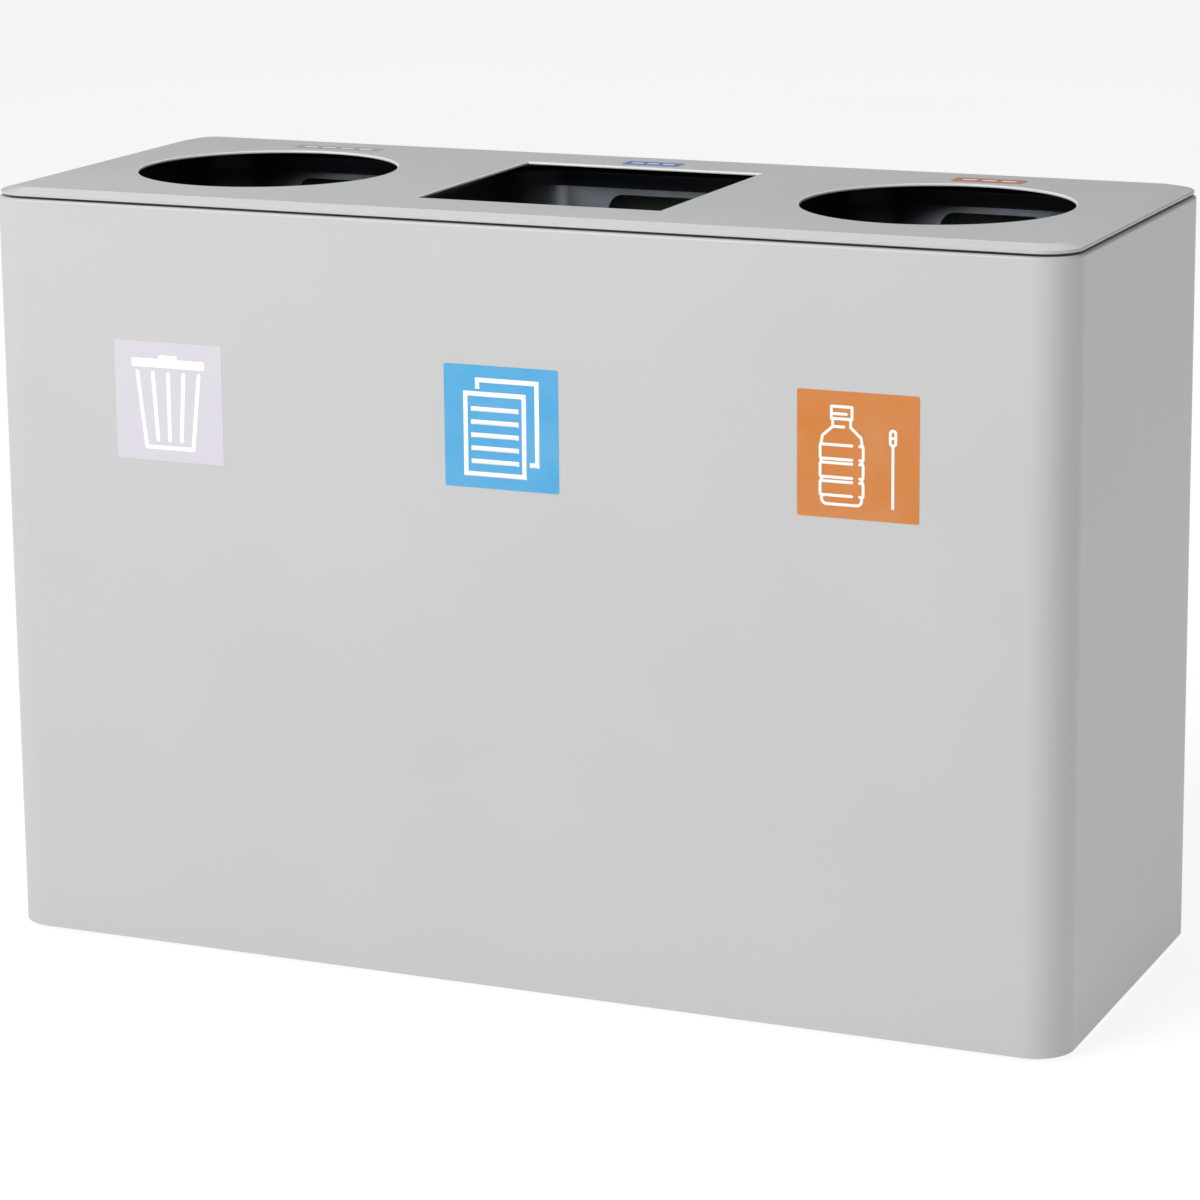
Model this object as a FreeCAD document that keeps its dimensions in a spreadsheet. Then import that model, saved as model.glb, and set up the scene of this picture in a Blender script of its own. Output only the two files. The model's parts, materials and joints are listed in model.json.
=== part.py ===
"""Recycling bin station: a sheet-steel housing with a hinged lid over three lift-out bins.

Millimetres, +Z up, the front faces -Y. The origin is on the floor under the middle of the station.
"""
import FreeCAD, Part
import math
import os
import Sketcher

# ---------------------------------------------------------------- driving dimensions
DRIVING_SIZES = {
    "width": 1150.0,
    "depth": 450.0,
    "lid_top": 785.0,
    "skirt_gap": 5.0,
    "corner_radius": 40.0,
    "wall": 1.5,
    "top_flange": 30.0,
    "bottom_flange": 15.0,
    "fold_radius": 3.0,
    "seam": 5.0,
    "seam_strip_width": 40.0,
    "lid_plate": 3.0,
    "lid_inset": 2.0,
    "lid_bevel_width": 20.0,
    "lid_bevel_rise": 4.0,
    "lid_land": 1.0,
    "lid_gap": 2.4,
    "frame_bar": 25.0,
    "frame_side_clearance": 2.0,
    "frame_window_radius": 8.0,
    "bin_end_margin": 23.0,
    "round_opening_radius": 135.0,
    "square_opening_width": 262.0,
    "square_opening_depth": 270.0,
    "deck_top": 40.0,
    "deck_plate": 2.0,
    "deck_skirt": 20.0,
    "deck_clearance": 0.2,
    "divider_flange": 20.0,
    "divider_head_gap": 2.0,
    "bin_lid_clearance": 10.0,
    "bin_rim_gap": 20.0,
    "bin_rim_front_gap": 37.0,
    "bin_lip_x": 14.0,
    "bin_lip_y": 10.0,
    "bin_wall": 3.0,
    "bin_lip_height": 20.0,
    "bin_corner_radius": 56.0,
    "bin_draft_x": 12.0,
    "bin_draft_y": 14.0,
    "bin_lip_draft": 0.4,
    "bin_shoulder_step": 9.0,
    "bin_shoulder_drop": 27.0,
    "bin_lip_inner_round": 6.0,
    "bin_lip_outer_round": 4.0,
    "hand_hole_width": 110.0,
    "hand_hole_height": 30.0,
    "hand_hole_radius": 14.0,
    "hand_hole_drop": 27.0,
    "hinge_spacing": 400.0,
    "hinge_length": 76.0,
    "hinge_leaf": 1.5,
    "hinge_leaf_drop": 35.0,
    "hinge_leaf_reach": 22.0,
    "knuckle_radius": 3.1,
    "knuckle_length": 27.4,
    "knuckle_gap": 0.3,
    "knuckle_lid_gap": 0.3,
    "knuckle_overhang": 0.4,
    "sill_rise": 0.9,
    "sill_end_reach": 12.0,
    "hinge_pin_radius": 1.75,
    "hinge_pin_fit": 0.05,
    "lid_opening_angle": 75.0,
    "rivet_radius": 2.0,
    "rivet_head_radius": 4.0,
    "rivet_head": 0.8,
    "rivet_spacing": 25.0,
    "rivet_drop": 20.0,
    "screw_head": 1.6,
    "screw_head_radius": 3.5,
    "screw_grip": 2.5,
    "fixing_fit": 0.05,
    "stay_radius": 140.0,
    "stay_width": 20.0,
    "stay_plate": 2.0,
    "stay_pin_radius": 4.0,
    "stay_slot_fit": 0.3,
    "stay_pin_angle": 8.0,
    "stay_side_gap": 0.5,
    "stay_end_angle": 3.5,
    "stay_notch_gap": 3.0,
    "stay_pin_head": 3.0,
    "stay_pin_head_radius": 7.0,
    "stay_collar": 2.0,
    "stay_nut": 4.0,
    "bracket_plate": 2.0,
    "bracket_half_width": 15.0,
    "bracket_height": 37.0,
    "buffer_radius": 4.0,
    "buffer_gap": 0.3,
    "buffer_pitch": 320.0,
    "foot_radius": 19.0,
    "foot_height": 10.0,
    "foot_edge": 3.0,
    "foot_neck_radius": 13.0,
    "foot_socket": 6.0,
    "foot_collar": 3.0,
    "foot_collar_radius": 7.0,
    "stud_radius": 4.0,
    "stud_top": 61.0,
    "stud_fit": 0.06,
    "bush_radius": 9.0,
    "bush_length": 16.0,
    "deck_hole_radius": 5.0,
    "film": 0.2,
    "overcut": 1.0,
    "strip_end_gap": 1.0,
    "hinge_pin_overhang": 1.0,
    "sticker_size": 122.0,
    "sticker_corner": 2.0,
    "sticker_height": 577.5,
    "label_forward_shift": 7.0,
    "left_label_width": 100.0,
    "left_label_depth": 20.0,
    "middle_label_width": 63.0,
    "middle_label_depth": 24.0,
    "right_label_width": 75.0,
    "right_label_depth": 25.0,
}


class Size:
    """A number together with the spreadsheet expression that gives it."""

    def __init__(self, value, text):
        self.value = value
        self.text = text

    def __add__(self, other):
        other = as_size(other)
        return Size(self.value + other.value, f"({self.text} + {other.text})")

    def __sub__(self, other):
        other = as_size(other)
        return Size(self.value - other.value, f"({self.text} - {other.text})")

    def __mul__(self, other):
        other = as_size(other)
        return Size(self.value * other.value, f"{self.text} * {other.text}")

    def __truediv__(self, other):
        other = as_size(other)
        return Size(self.value / other.value, f"{self.text} / {other.text}")

    def __neg__(self):
        return Size(-self.value, f"(0 - {self.text})")

    def __radd__(self, other):
        return as_size(other) + self


def as_size(number):
    if isinstance(number, Size):
        return number
    return Size(float(number), f"({number})")


def cosine(angle):
    return Size(math.cos(math.radians(angle.value)), f"cos({angle.text} * 1 deg)")


def sine(angle):
    return Size(math.sin(math.radians(angle.value)), f"sin({angle.text} * 1 deg)")


doc = FreeCAD.newDocument("recycling_bin_station")
sheet = doc.addObject("Spreadsheet::Sheet", "sizes")
for row, (alias, number) in enumerate(DRIVING_SIZES.items(), start=1):
    sheet.set(f"A{row}", alias)
    sheet.set(f"B{row}", str(number))
    sheet.setAlias(f"B{row}", alias)
doc.recompute()

ZERO = as_size(0)
dim = {alias: Size(number, f"sizes.{alias}") for alias, number in DRIVING_SIZES.items()}


# ---------------------------------------------------------------- derived places
half_width = dim["width"] / 2
half_depth = dim["depth"] / 2
inner_x = half_width - dim["wall"]
inner_y = half_depth - dim["wall"]
inner_corner = dim["corner_radius"] - dim["wall"]
corner_x = half_width - dim["corner_radius"]
corner_y = half_depth - dim["corner_radius"]

lid_half_x = half_width - dim["lid_inset"]
lid_half_y = half_depth - dim["lid_inset"]
lid_corner = dim["corner_radius"] - dim["lid_inset"]
lid_height = dim["lid_plate"] + dim["lid_bevel_rise"]
lid_bottom = dim["lid_top"] - lid_height
lid_underside = dim["lid_top"] - dim["lid_plate"]
housing_top = lid_bottom - dim["lid_gap"]
flange_bottom = housing_top - dim["wall"]
deck_bottom = dim["deck_top"] - dim["deck_plate"]

lid_flat_x = lid_half_x - dim["lid_bevel_width"]
lid_flat_y = lid_half_y - dim["lid_bevel_width"]
lid_flat_corner = lid_corner - dim["lid_bevel_width"]
frame_half_x = lid_flat_x - dim["frame_side_clearance"]
frame_half_y = lid_flat_y
label_y = (dim["round_opening_radius"] + lid_flat_y) / 2 - dim["label_forward_shift"]
bin_pitch = (dim["width"] - dim["bin_end_margin"] * 2) / 3
divider_x = bin_pitch / 2

hinge_z = lid_bottom - dim["knuckle_lid_gap"] - dim["knuckle_radius"]
hinge_y = inner_y + dim["knuckle_overhang"] - dim["knuckle_radius"]
rear_wall_top = hinge_z - dim["knuckle_radius"] + dim["sill_rise"]
knuckle_bore = dim["hinge_pin_radius"] + dim["hinge_pin_fit"]
fixing_bore = dim["rivet_radius"] + dim["fixing_fit"]
rivet_z = hinge_z - dim["rivet_drop"]
overcut = dim["overcut"]
screw_y = frame_half_y - dim["screw_head_radius"] * 2

bin_top = dim["lid_top"] - dim["bin_lid_clearance"]
bin_rim_x = (bin_pitch - dim["bin_rim_gap"]) / 2
bin_rim_y = half_depth - dim["bin_rim_front_gap"]
bin_mouth_x = bin_rim_x - dim["bin_lip_x"]
bin_mouth_y = bin_rim_y - dim["bin_lip_y"]

stay_outer = dim["stay_radius"] + dim["stay_width"] / 2
stay_inner = dim["stay_radius"] - dim["stay_width"] / 2
stay_pin_y = hinge_y - dim["stay_radius"] * cosine(dim["stay_pin_angle"])
stay_pin_z = hinge_z - dim["stay_radius"] * sine(dim["stay_pin_angle"])
stay_slot_radius = dim["stay_pin_radius"] + dim["stay_slot_fit"]
bracket_x = frame_half_x + dim["stay_plate"] + dim["stay_side_gap"] + dim["stay_collar"]

bush_bottom = deck_bottom - dim["bush_length"]


# ---------------------------------------------------------------- drawing helpers
def new_body(label):
    body = doc.addObject("PartDesign::Body", label)
    body.Label = label
    return body


def sketch_on(body, role, offset=(ZERO, ZERO, ZERO)):
    """A sketch on one of the body's own origin planes, moved by offset in the plane's axes."""
    sketch = body.newObject("Sketcher::SketchObject", body.Label + "_sketch")
    plane = next(item for item in body.Origin.OriginFeatures if item.Role == role)
    sketch.AttachmentSupport = [(plane, "")]
    sketch.MapMode = "FlatFace"
    for axis, distance in zip("xyz", offset):
        sketch.setExpression(f"AttachmentOffset.Base.{axis}", distance.text)
    return sketch


def fix_point(sketch, index, position, point):
    for kind, distance in zip(("DistanceX", "DistanceY"), point):
        number = sketch.addConstraint(
            Sketcher.Constraint(kind, -1, 1, index, position, distance.value))
        sketch.setExpression(f"Constraints[{number}]", distance.text)


def vector(point):
    return FreeCAD.Vector(point[0].value, point[1].value, 0)


def direction(start, end):
    """The signs of the step from start to end."""
    step_x = end[0].value - start[0].value
    step_y = end[1].value - start[1].value
    return (step_x > 1e-6) - (step_x < -1e-6), (step_y > 1e-6) - (step_y < -1e-6)


def draw_outline(sketch, points):
    """A closed outline. A point (x, y, radius) is a square corner rounded to that radius."""
    points = [tuple(as_size(number) for number in point) for point in points]
    starts, ends = [], []
    for index, point in enumerate(points):
        if len(point) == 2:
            starts.append(point)
            ends.append(point)
            continue
        radius = point[2]
        into = direction(points[index - 1], point)
        out = direction(point, points[(index + 1) % len(points)])
        starts.append((point[0] - radius * into[0], point[1] - radius * into[1]))
        ends.append((point[0] + radius * out[0], point[1] + radius * out[1]))
    lines = []
    for index in range(len(points)):
        following = (index + 1) % len(points)
        segment = Part.LineSegment(vector(ends[index]), vector(starts[following]))
        lines.append(sketch.addGeometry(segment))
        fix_point(sketch, lines[-1], 1, ends[index])
        if len(points[following]) == 3:
            fix_point(sketch, lines[-1], 2, starts[following])
    for index, point in enumerate(points):
        before, after = lines[index - 1], lines[index]
        if len(point) == 2:
            sketch.addConstraint(Sketcher.Constraint("Coincident", before, 2, after, 1))
            continue
        round_corner(sketch, point, starts[index], ends[index], before, after)


def round_corner(sketch, corner, start, end, before, after):
    """The arc from the end of one line to the start of the next."""
    centre = FreeCAD.Vector(start[0].value + end[0].value - corner[0].value,
                            start[1].value + end[1].value - corner[1].value, 0)
    from_start = vector(start) - centre
    from_end = vector(end) - centre
    counter_clockwise = from_start.cross(from_end).z > 0
    first, last = (from_start, from_end) if counter_clockwise else (from_end, from_start)
    first_angle = math.atan2(first.y, first.x)
    last_angle = math.atan2(last.y, last.x)
    if last_angle < first_angle:
        last_angle += 2 * math.pi
    circle = Part.Circle(centre, FreeCAD.Vector(0, 0, 1), corner[2].value)
    arc = sketch.addGeometry(Part.ArcOfCircle(circle, first_angle, last_angle))
    start_position, end_position = (1, 2) if counter_clockwise else (2, 1)
    sketch.addConstraint(Sketcher.Constraint("Coincident", arc, start_position, before, 2))
    sketch.addConstraint(Sketcher.Constraint("Coincident", arc, end_position, after, 1))
    number = sketch.addConstraint(Sketcher.Constraint("Radius", arc, corner[2].value))
    sketch.setExpression(f"Constraints[{number}]", corner[2].text)


def draw_box(sketch, low_x, high_x, low_y, high_y, radius=None):
    corners = [(low_x, low_y), (high_x, low_y), (high_x, high_y), (low_x, high_y)]
    if radius is not None:
        corners = [corner + (radius,) for corner in corners]
    draw_outline(sketch, corners)


def draw_circle(sketch, centre, radius):
    centre = tuple(as_size(number) for number in centre)
    circle = sketch.addGeometry(
        Part.Circle(vector(centre), FreeCAD.Vector(0, 0, 1), radius.value))
    fix_point(sketch, circle, 3, centre)
    number = sketch.addConstraint(Sketcher.Constraint("Radius", circle, radius.value))
    sketch.setExpression(f"Constraints[{number}]", radius.text)


def volume(body):
    doc.recompute()
    return body.Shape.Volume


def pad(body, sketch, length, reverse=False):
    feature = body.newObject("PartDesign::Pad", body.Label + "_pad")
    feature.Profile = sketch
    feature.Reversed = reverse
    feature.setExpression("Length", as_size(length).text)
    doc.recompute()
    return feature


def pocket(body, sketch, length, reverse=False):
    """Cuts along the sketch's normal, or against it when reversed, and checks that it cut."""
    before = volume(body)
    feature = body.newObject("PartDesign::Pocket", body.Label + "_pocket")
    feature.Profile = sketch
    feature.Reversed = not reverse
    feature.setExpression("Length", as_size(length).text)
    if volume(body) >= before:
        raise RuntimeError(f"{feature.Label} cuts nothing")
    return feature


def revolve(body, sketch, axis):
    feature = body.newObject("PartDesign::Revolution", body.Label + "_turned")
    feature.Profile = sketch
    feature.ReferenceAxis = (sketch, [axis])
    feature.Angle = 360
    doc.recompute()
    return feature


def loft(body, kind, sketches):
    feature = body.newObject(kind, body.Label + "_loft")
    feature.Profile = sketches[0]
    feature.Sections = sketches[1:]
    feature.Ruled = True
    doc.recompute()
    return feature


def edges_at(body, test):
    """The names of the edges all of whose points pass the test."""
    doc.recompute()
    names = []
    for number, edge in enumerate(body.Tip.Shape.Edges, start=1):
        if all(test(point) for point in edge.discretize(5)):
            names.append(f"Edge{number}")
    return names


def fillet(body, test, radius):
    names = edges_at(body, test)
    base = body.Tip
    feature = body.newObject("PartDesign::Fillet", body.Label + "_round")
    feature.Base = (base, names)
    feature.setExpression("Radius", radius.text)
    doc.recompute()
    return feature


def near(number, size):
    return abs(number - size.value) < 0.01


def cylinder(name, radius, length, centre, axis):
    """A Part cylinder that starts at centre and runs along the named axis."""
    turns = {"x": FreeCAD.Rotation(FreeCAD.Vector(0, 1, 0), 90),
             "y": FreeCAD.Rotation(FreeCAD.Vector(1, 0, 0), -90),
             "z": FreeCAD.Rotation()}
    item = doc.addObject("Part::Cylinder", name)
    item.Placement = FreeCAD.Placement(FreeCAD.Vector(0, 0, 0), turns[axis])
    item.setExpression("Radius", radius.text)
    item.setExpression("Height", length.text)
    for letter, distance in zip("xyz", centre):
        item.setExpression(f"Placement.Base.{letter}", as_size(distance).text)
    return item


def fuse(label, items):
    result = doc.addObject("Part::MultiFuse", label)
    result.Label = label
    result.Shapes = items
    return result


SIDES = {"left": -1, "right": 1}
ENDS = {"front": -1, "rear": 1}
BAYS = {"left": -1, "middle": 0, "right": 1}


# ---------------------------------------------------------------- housing
def draw_shell_band(sketch, end, band):
    """A U-shaped band just inside the plan outline, from seam to seam round one end."""
    far_y = half_depth * end
    near_y = (half_depth - band) * end
    band_x = half_width - band
    radius = dim["corner_radius"]
    draw_outline(sketch, [
        (-half_width, dim["seam"]),
        (-half_width, far_y, radius),
        (half_width, far_y, radius),
        (half_width, dim["seam"]),
        (band_x, dim["seam"]),
        (band_x, near_y, radius - band),
        (-band_x, near_y, radius - band),
        (-band_x, dim["seam"]),
    ])


def make_shell(label, end):
    """One folded half of the housing, with its flanges turned inward."""
    body = new_body(label)
    walls = sketch_on(body, "XY_Plane", (ZERO, ZERO, dim["skirt_gap"]))
    draw_shell_band(walls, end, dim["wall"])
    pad(body, walls, housing_top - dim["skirt_gap"])
    head = sketch_on(body, "XY_Plane", (ZERO, ZERO, flange_bottom))
    draw_shell_band(head, end, dim["top_flange"])
    pad(body, head, dim["wall"])
    foot = sketch_on(body, "XY_Plane", (ZERO, ZERO, dim["skirt_gap"]))
    draw_shell_band(foot, end, dim["bottom_flange"])
    pad(body, foot, dim["wall"])

    def on_outer_top(point):
        past_x = max(0, abs(point.x) - corner_x.value)
        past_y = max(0, abs(point.y) - corner_y.value)
        return near(point.z, housing_top) and near(math.hypot(past_x, past_y),
                                                   dim["corner_radius"])

    fillet(body, on_outer_top, dim["fold_radius"])
    return body


def make_front_shell():
    make_shell("front_shell", ENDS["front"])


def make_rear_shell():
    body = make_shell("rear_shell", ENDS["rear"])
    sill = sketch_on(body, "XY_Plane", (ZERO, ZERO, rear_wall_top))
    sill_end = corner_x + dim["sill_end_reach"]
    draw_box(sill, -sill_end, sill_end, half_depth - dim["top_flange"] - overcut,
             half_depth + overcut)
    pocket(body, sill, housing_top - rear_wall_top + overcut)
    notches = sketch_on(body, "XY_Plane", (ZERO, ZERO, flange_bottom - overcut))
    stay_x = frame_half_x + dim["stay_plate"] + dim["stay_notch_gap"]
    for side in SIDES.values():
        ends = [(half_width - dim["top_flange"] - overcut) * side, stay_x * side]
        ends.sort(key=lambda size: size.value)
        draw_box(notches, ends[0], ends[1],
                 hinge_y - stay_outer - dim["stay_notch_gap"],
                 hinge_y - stay_inner + dim["stay_notch_gap"])
    pocket(body, notches, dim["wall"] + overcut * 2)
    holes = sketch_on(body, "XZ_Plane", (ZERO, ZERO, -half_depth - overcut))
    for centre_x in fixing_places():
        draw_circle(holes, (centre_x, rivet_z), fixing_bore)
    pocket(body, holes, dim["wall"] + overcut * 2)


def fixing_places():
    """The middle of each rivet and screw along the three hinges."""
    return [dim["hinge_spacing"] * bay + dim["rivet_spacing"] * place
            for bay in BAYS.values() for place in (-1, 0, 1)]


def make_seam_strips():
    end_gap = dim["strip_end_gap"]
    for name, side in SIDES.items():
        body = new_body(f"seam_strip_{name}")
        strip = sketch_on(body, "XY_Plane", (ZERO, ZERO, dim["deck_top"] + end_gap))
        ends = [inner_x * side, (inner_x - dim["wall"]) * side]
        ends.sort(key=lambda size: size.value)
        draw_box(strip, ends[0], ends[1], dim["seam"] - dim["seam_strip_width"] / 2,
                 dim["seam"] + dim["seam_strip_width"] / 2)
        pad(body, strip, flange_bottom - dim["deck_top"] - end_gap * 2)


def make_floor_pan():
    body = new_body("floor_pan")
    half_x = inner_x - dim["deck_clearance"]
    half_y = inner_y - dim["deck_clearance"]
    radius = inner_corner - dim["deck_clearance"]
    plate = dim["deck_plate"]
    deck = sketch_on(body, "XY_Plane", (ZERO, ZERO, deck_bottom - dim["deck_skirt"]))
    draw_box(deck, -half_x, half_x, -half_y, half_y, radius)
    pad(body, deck, dim["deck_skirt"] + plate)
    under = sketch_on(body, "XY_Plane", (ZERO, ZERO, deck_bottom - dim["deck_skirt"]))
    draw_box(under, plate - half_x, half_x - plate, plate - half_y, half_y - plate,
             radius - plate)
    pocket(body, under, dim["deck_skirt"])
    holes = sketch_on(body, "XY_Plane", (ZERO, ZERO, deck_bottom - overcut))
    for side in SIDES.values():
        for end in ENDS.values():
            draw_circle(holes, (corner_x * side, corner_y * end), dim["deck_hole_radius"])
    pocket(body, holes, plate + overcut * 2)


def make_dividers():
    """Upright channels between the bins, which stiffen the front and rear walls."""
    for name, side in SIDES.items():
        body = new_body(f"divider_{name}")
        channel = sketch_on(body, "XY_Plane", (ZERO, ZERO, dim["deck_top"]))
        web_low = divider_x * side - dim["wall"] / 2
        web_high = divider_x * side + dim["wall"] / 2
        tip = web_low + dim["divider_flange"]
        draw_outline(channel, [
            (web_low, -inner_y), (tip, -inner_y), (tip, dim["wall"] - inner_y),
            (web_high, dim["wall"] - inner_y), (web_high, inner_y - dim["wall"]),
            (tip, inner_y - dim["wall"]), (tip, inner_y), (web_low, inner_y)])
        pad(body, channel, rear_wall_top - dim["divider_head_gap"] - dim["deck_top"])


# ---------------------------------------------------------------- bins
def draw_bin_outline(body, height, half_x, half_y, radius, centre_x):
    sketch = sketch_on(body, "XY_Plane", (centre_x, ZERO, height))
    draw_box(sketch, -half_x, half_x, -half_y, half_y, radius)
    return sketch


def make_bin(label, bay):
    """A moulded tub with a lip, a shoulder under it, drafted walls and two hand holes."""
    body = new_body(label)
    centre_x = bin_pitch * bay
    wall = dim["bin_wall"]
    radius = dim["bin_corner_radius"]
    wall_x = bin_mouth_x + wall
    wall_y = bin_mouth_y + wall
    neck_x = wall_x - dim["bin_shoulder_step"]
    neck_y = wall_y - dim["bin_shoulder_step"]
    base_x = neck_x - dim["bin_draft_x"]
    base_y = neck_y - dim["bin_draft_y"]
    rim_radius = radius + dim["bin_lip_y"]
    lip_bottom = bin_top - dim["bin_lip_height"]
    lip_x = wall_x - dim["bin_lip_draft"]
    lip_y = wall_y - dim["bin_lip_draft"]
    neck_top = lip_bottom - dim["bin_shoulder_drop"]
    loft(body, "PartDesign::AdditiveLoft", [
        draw_bin_outline(body, dim["deck_top"], base_x, base_y, radius, centre_x),
        draw_bin_outline(body, neck_top, neck_x, neck_y, radius, centre_x),
        draw_bin_outline(body, lip_bottom, lip_x, lip_y, radius + wall, centre_x),
        draw_bin_outline(body, bin_top, wall_x, wall_y, radius + wall, centre_x)])
    lip = draw_bin_outline(body, lip_bottom, bin_rim_x, bin_rim_y, rim_radius, centre_x)
    pad(body, lip, dim["bin_lip_height"])
    hollow = draw_bin_outline(body, lip_bottom, bin_rim_x - wall, bin_rim_y - wall,
                              rim_radius - wall, centre_x)
    draw_box(hollow, -wall_x, wall_x, -wall_y, wall_y, radius + wall)
    pocket(body, hollow, dim["bin_lip_height"] - wall)
    before = volume(body)
    loft(body, "PartDesign::SubtractiveLoft", [
        draw_bin_outline(body, dim["deck_top"] + wall, base_x - wall, base_y - wall,
                         radius - wall, centre_x),
        draw_bin_outline(body, neck_top, neck_x - wall, neck_y - wall, radius - wall, centre_x),
        draw_bin_outline(body, lip_bottom, lip_x - wall, lip_y - wall, radius, centre_x),
        draw_bin_outline(body, bin_top, bin_mouth_x, bin_mouth_y, radius, centre_x)])
    if volume(body) >= before:
        raise RuntimeError(f"{label} is not hollow")
    hand_top = bin_top - dim["hand_hole_drop"]
    holes = sketch_on(body, "XZ_Plane", (centre_x, ZERO, -bin_rim_y))
    draw_box(holes, -dim["hand_hole_width"] / 2, dim["hand_hole_width"] / 2,
             hand_top - dim["hand_hole_height"], hand_top, dim["hand_hole_radius"])
    pocket(body, holes, bin_rim_y * 2)

    def on_mouth(point):
        past_x = abs(point.x - centre_x.value) < bin_mouth_x.value + 0.1
        past_y = abs(point.y) < bin_mouth_y.value + 0.1
        return near(point.z, bin_top) and past_x and past_y

    def on_rim(point):
        return near(point.z, bin_top) and not on_mouth(point)

    fillet(body, on_mouth, dim["bin_lip_inner_round"])
    fillet(body, on_rim, dim["bin_lip_outer_round"])


def make_bins():
    make_bin("bin_residual", BAYS["left"])
    make_bin("bin_paper", BAYS["middle"])
    make_bin("bin_plastic", BAYS["right"])


# ---------------------------------------------------------------- levelling feet
def make_turned(label, corner, profile):
    """A turned piece on the upright axis of one foot."""
    body = new_body(label)
    sketch = sketch_on(body, "XZ_Plane", (corner[0], ZERO, -corner[1]))
    draw_outline(sketch, profile)
    revolve(body, sketch, "V_Axis")


def make_feet():
    stud_bore = dim["stud_radius"] + dim["stud_fit"]
    foot_top = dim["foot_height"]
    collar_top = foot_top + dim["foot_collar"]
    stud_bottom = foot_top - dim["foot_socket"]
    tip = dim["stud_radius"] / 4
    for end_name, end in ENDS.items():
        for side_name, side in SIDES.items():
            corner = (corner_x * side, corner_y * end)
            place = f"{end_name}_{side_name}"
            make_turned(f"foot_pad_{place}", corner, [
                (0, 0), (dim["foot_radius"], 0), (dim["foot_radius"], dim["foot_edge"]),
                (dim["foot_neck_radius"], foot_top), (stud_bore, foot_top),
                (stud_bore, stud_bottom), (0, stud_bottom)])
            make_turned(f"foot_stud_{place}", corner, [
                (0, stud_bottom), (dim["stud_radius"], stud_bottom),
                (dim["stud_radius"], foot_top), (dim["foot_collar_radius"], foot_top),
                (dim["foot_collar_radius"], collar_top), (dim["stud_radius"], collar_top),
                (dim["stud_radius"], dim["stud_top"] - tip),
                (dim["stud_radius"] - tip, dim["stud_top"]), (0, dim["stud_top"])])
            make_turned(f"foot_bush_{place}", corner, [
                (stud_bore, bush_bottom), (dim["bush_radius"], bush_bottom),
                (dim["bush_radius"], deck_bottom), (stud_bore, deck_bottom)])


# ---------------------------------------------------------------- lid
def make_lid_panel():
    body = new_body("lid_panel")
    outline = sketch_on(body, "XY_Plane", (ZERO, ZERO, lid_bottom))
    draw_box(outline, -lid_half_x, lid_half_x, -lid_half_y, lid_half_y, lid_corner)
    pad(body, outline, dim["lid_plate"])
    rise = sketch_on(body, "XY_Plane", (ZERO, ZERO, lid_bottom + dim["lid_plate"]))
    draw_box(rise, -lid_half_x, lid_half_x, -lid_half_y, lid_half_y, lid_corner)
    crown = sketch_on(body, "XY_Plane", (ZERO, ZERO, dim["lid_top"]))
    draw_box(crown, -lid_flat_x, lid_flat_x, -lid_flat_y, lid_flat_y, lid_flat_corner)
    loft(body, "PartDesign::AdditiveLoft", [rise, crown])
    land = dim["lid_land"]
    mouth = sketch_on(body, "XY_Plane", (ZERO, ZERO, lid_bottom))
    draw_box(mouth, land - lid_half_x, lid_half_x - land, land - lid_half_y,
             lid_half_y - land, lid_corner - land)
    ceiling = sketch_on(body, "XY_Plane", (ZERO, ZERO, lid_underside))
    draw_box(ceiling, -lid_flat_x, lid_flat_x, -lid_flat_y, lid_flat_y, lid_flat_corner)
    loft(body, "PartDesign::SubtractiveLoft", [mouth, ceiling])
    openings = sketch_on(body, "XY_Plane", (ZERO, ZERO, lid_bottom))
    for side in SIDES.values():
        draw_circle(openings, (bin_pitch * side, 0), dim["round_opening_radius"])
    draw_box(openings, -dim["square_opening_width"] / 2, dim["square_opening_width"] / 2,
             -dim["square_opening_depth"] / 2, dim["square_opening_depth"] / 2)
    pocket(body, openings, lid_height + overcut)


def make_lid_frame():
    """A flat-bar frame under the lid, with a cross bar each side of the middle opening."""
    body = new_body("lid_frame")
    bar = dim["frame_bar"]
    outline = sketch_on(body, "XY_Plane", (ZERO, ZERO, lid_bottom))
    draw_box(outline, -frame_half_x, frame_half_x, -frame_half_y, frame_half_y,
             lid_flat_corner)
    pad(body, outline, dim["lid_bevel_rise"])
    windows = sketch_on(body, "XY_Plane", (ZERO, ZERO, lid_bottom))
    stops = [bar - frame_half_x, -divider_x - bar / 2, -divider_x + bar / 2,
             divider_x - bar / 2, divider_x + bar / 2, frame_half_x - bar]
    for low, high in zip(stops[0::2], stops[1::2]):
        draw_box(windows, low, high, bar - frame_half_y, frame_half_y - bar,
                 dim["frame_window_radius"])
    pocket(body, windows, dim["lid_bevel_rise"] + overcut)
    holes = sketch_on(body, "XY_Plane", (ZERO, ZERO, lid_bottom))
    for centre_x in fixing_places():
        draw_circle(holes, (centre_x, screw_y), fixing_bore)
    pocket(body, holes, dim["lid_bevel_rise"] + overcut)


# ---------------------------------------------------------------- hinges
def make_knuckle(name, low_x, high_x):
    return cylinder(name, dim["knuckle_radius"], high_x - low_x, (low_x, hinge_y, hinge_z), "x")


def plate(name, low, high):
    item = doc.addObject("Part::Box", name)
    for axis, size_name, start, stop in zip("xyz", ("Length", "Width", "Height"), low, high):
        start = as_size(start)
        item.setExpression(f"Placement.Base.{axis}", start.text)
        item.setExpression(size_name, (as_size(stop) - start).text)
    return item


def cut(label, base, tool):
    result = doc.addObject("Part::Cut", label)
    result.Label = label
    result.Base = base
    result.Tool = tool
    return result


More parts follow.
